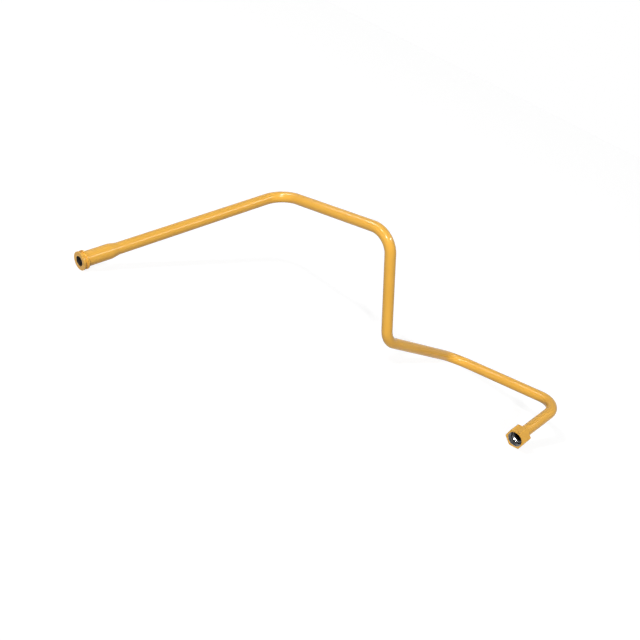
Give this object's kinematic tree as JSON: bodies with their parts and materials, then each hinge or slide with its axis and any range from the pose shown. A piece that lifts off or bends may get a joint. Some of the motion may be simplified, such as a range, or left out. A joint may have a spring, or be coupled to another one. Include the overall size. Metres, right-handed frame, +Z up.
{
  "type": "water tube",
  "caption": "Bent steel water tube, painted, with a grooved spigot at one end and a flared end with a hexagon nut at the other.",
  "frame": {"origin": "middle of the tube's footprint, on the surface that it lies on", "axes": "+Z up from that surface; +X from the spigot's mouth towards the nut, along the tube's greatest length; +Y across"},
  "size_m": [0.6991, 0.2451, 0.1843],
  "materials": {
    "yellow_paint": "semi-gloss yellow enamel over steel",
    "bare_steel": "bare machined steel"
  },
  "bodies": {
    "tube": {"bent_tube": "yellow_paint", "grooved_end": "yellow_paint"},
    "sleeve": {"flare_sleeve": "bare_steel"},
    "nut": {"swivel_nut": "yellow_paint"}
  },
  "joints": [
    {"name": "sleeve_slide", "type": "slide", "parent": "tube", "child": "sleeve", "axis": [0.6346, 0.6909, 0.3464], "range_m": [0, 0.066]},
    {"name": "nut_swivel", "type": "hinge", "parent": "sleeve", "child": "nut", "pos_m": [0.28371, -0.10716, 0.01577], "axis": [0.6346, 0.6909, 0.3464], "continuous": true}
  ]
}
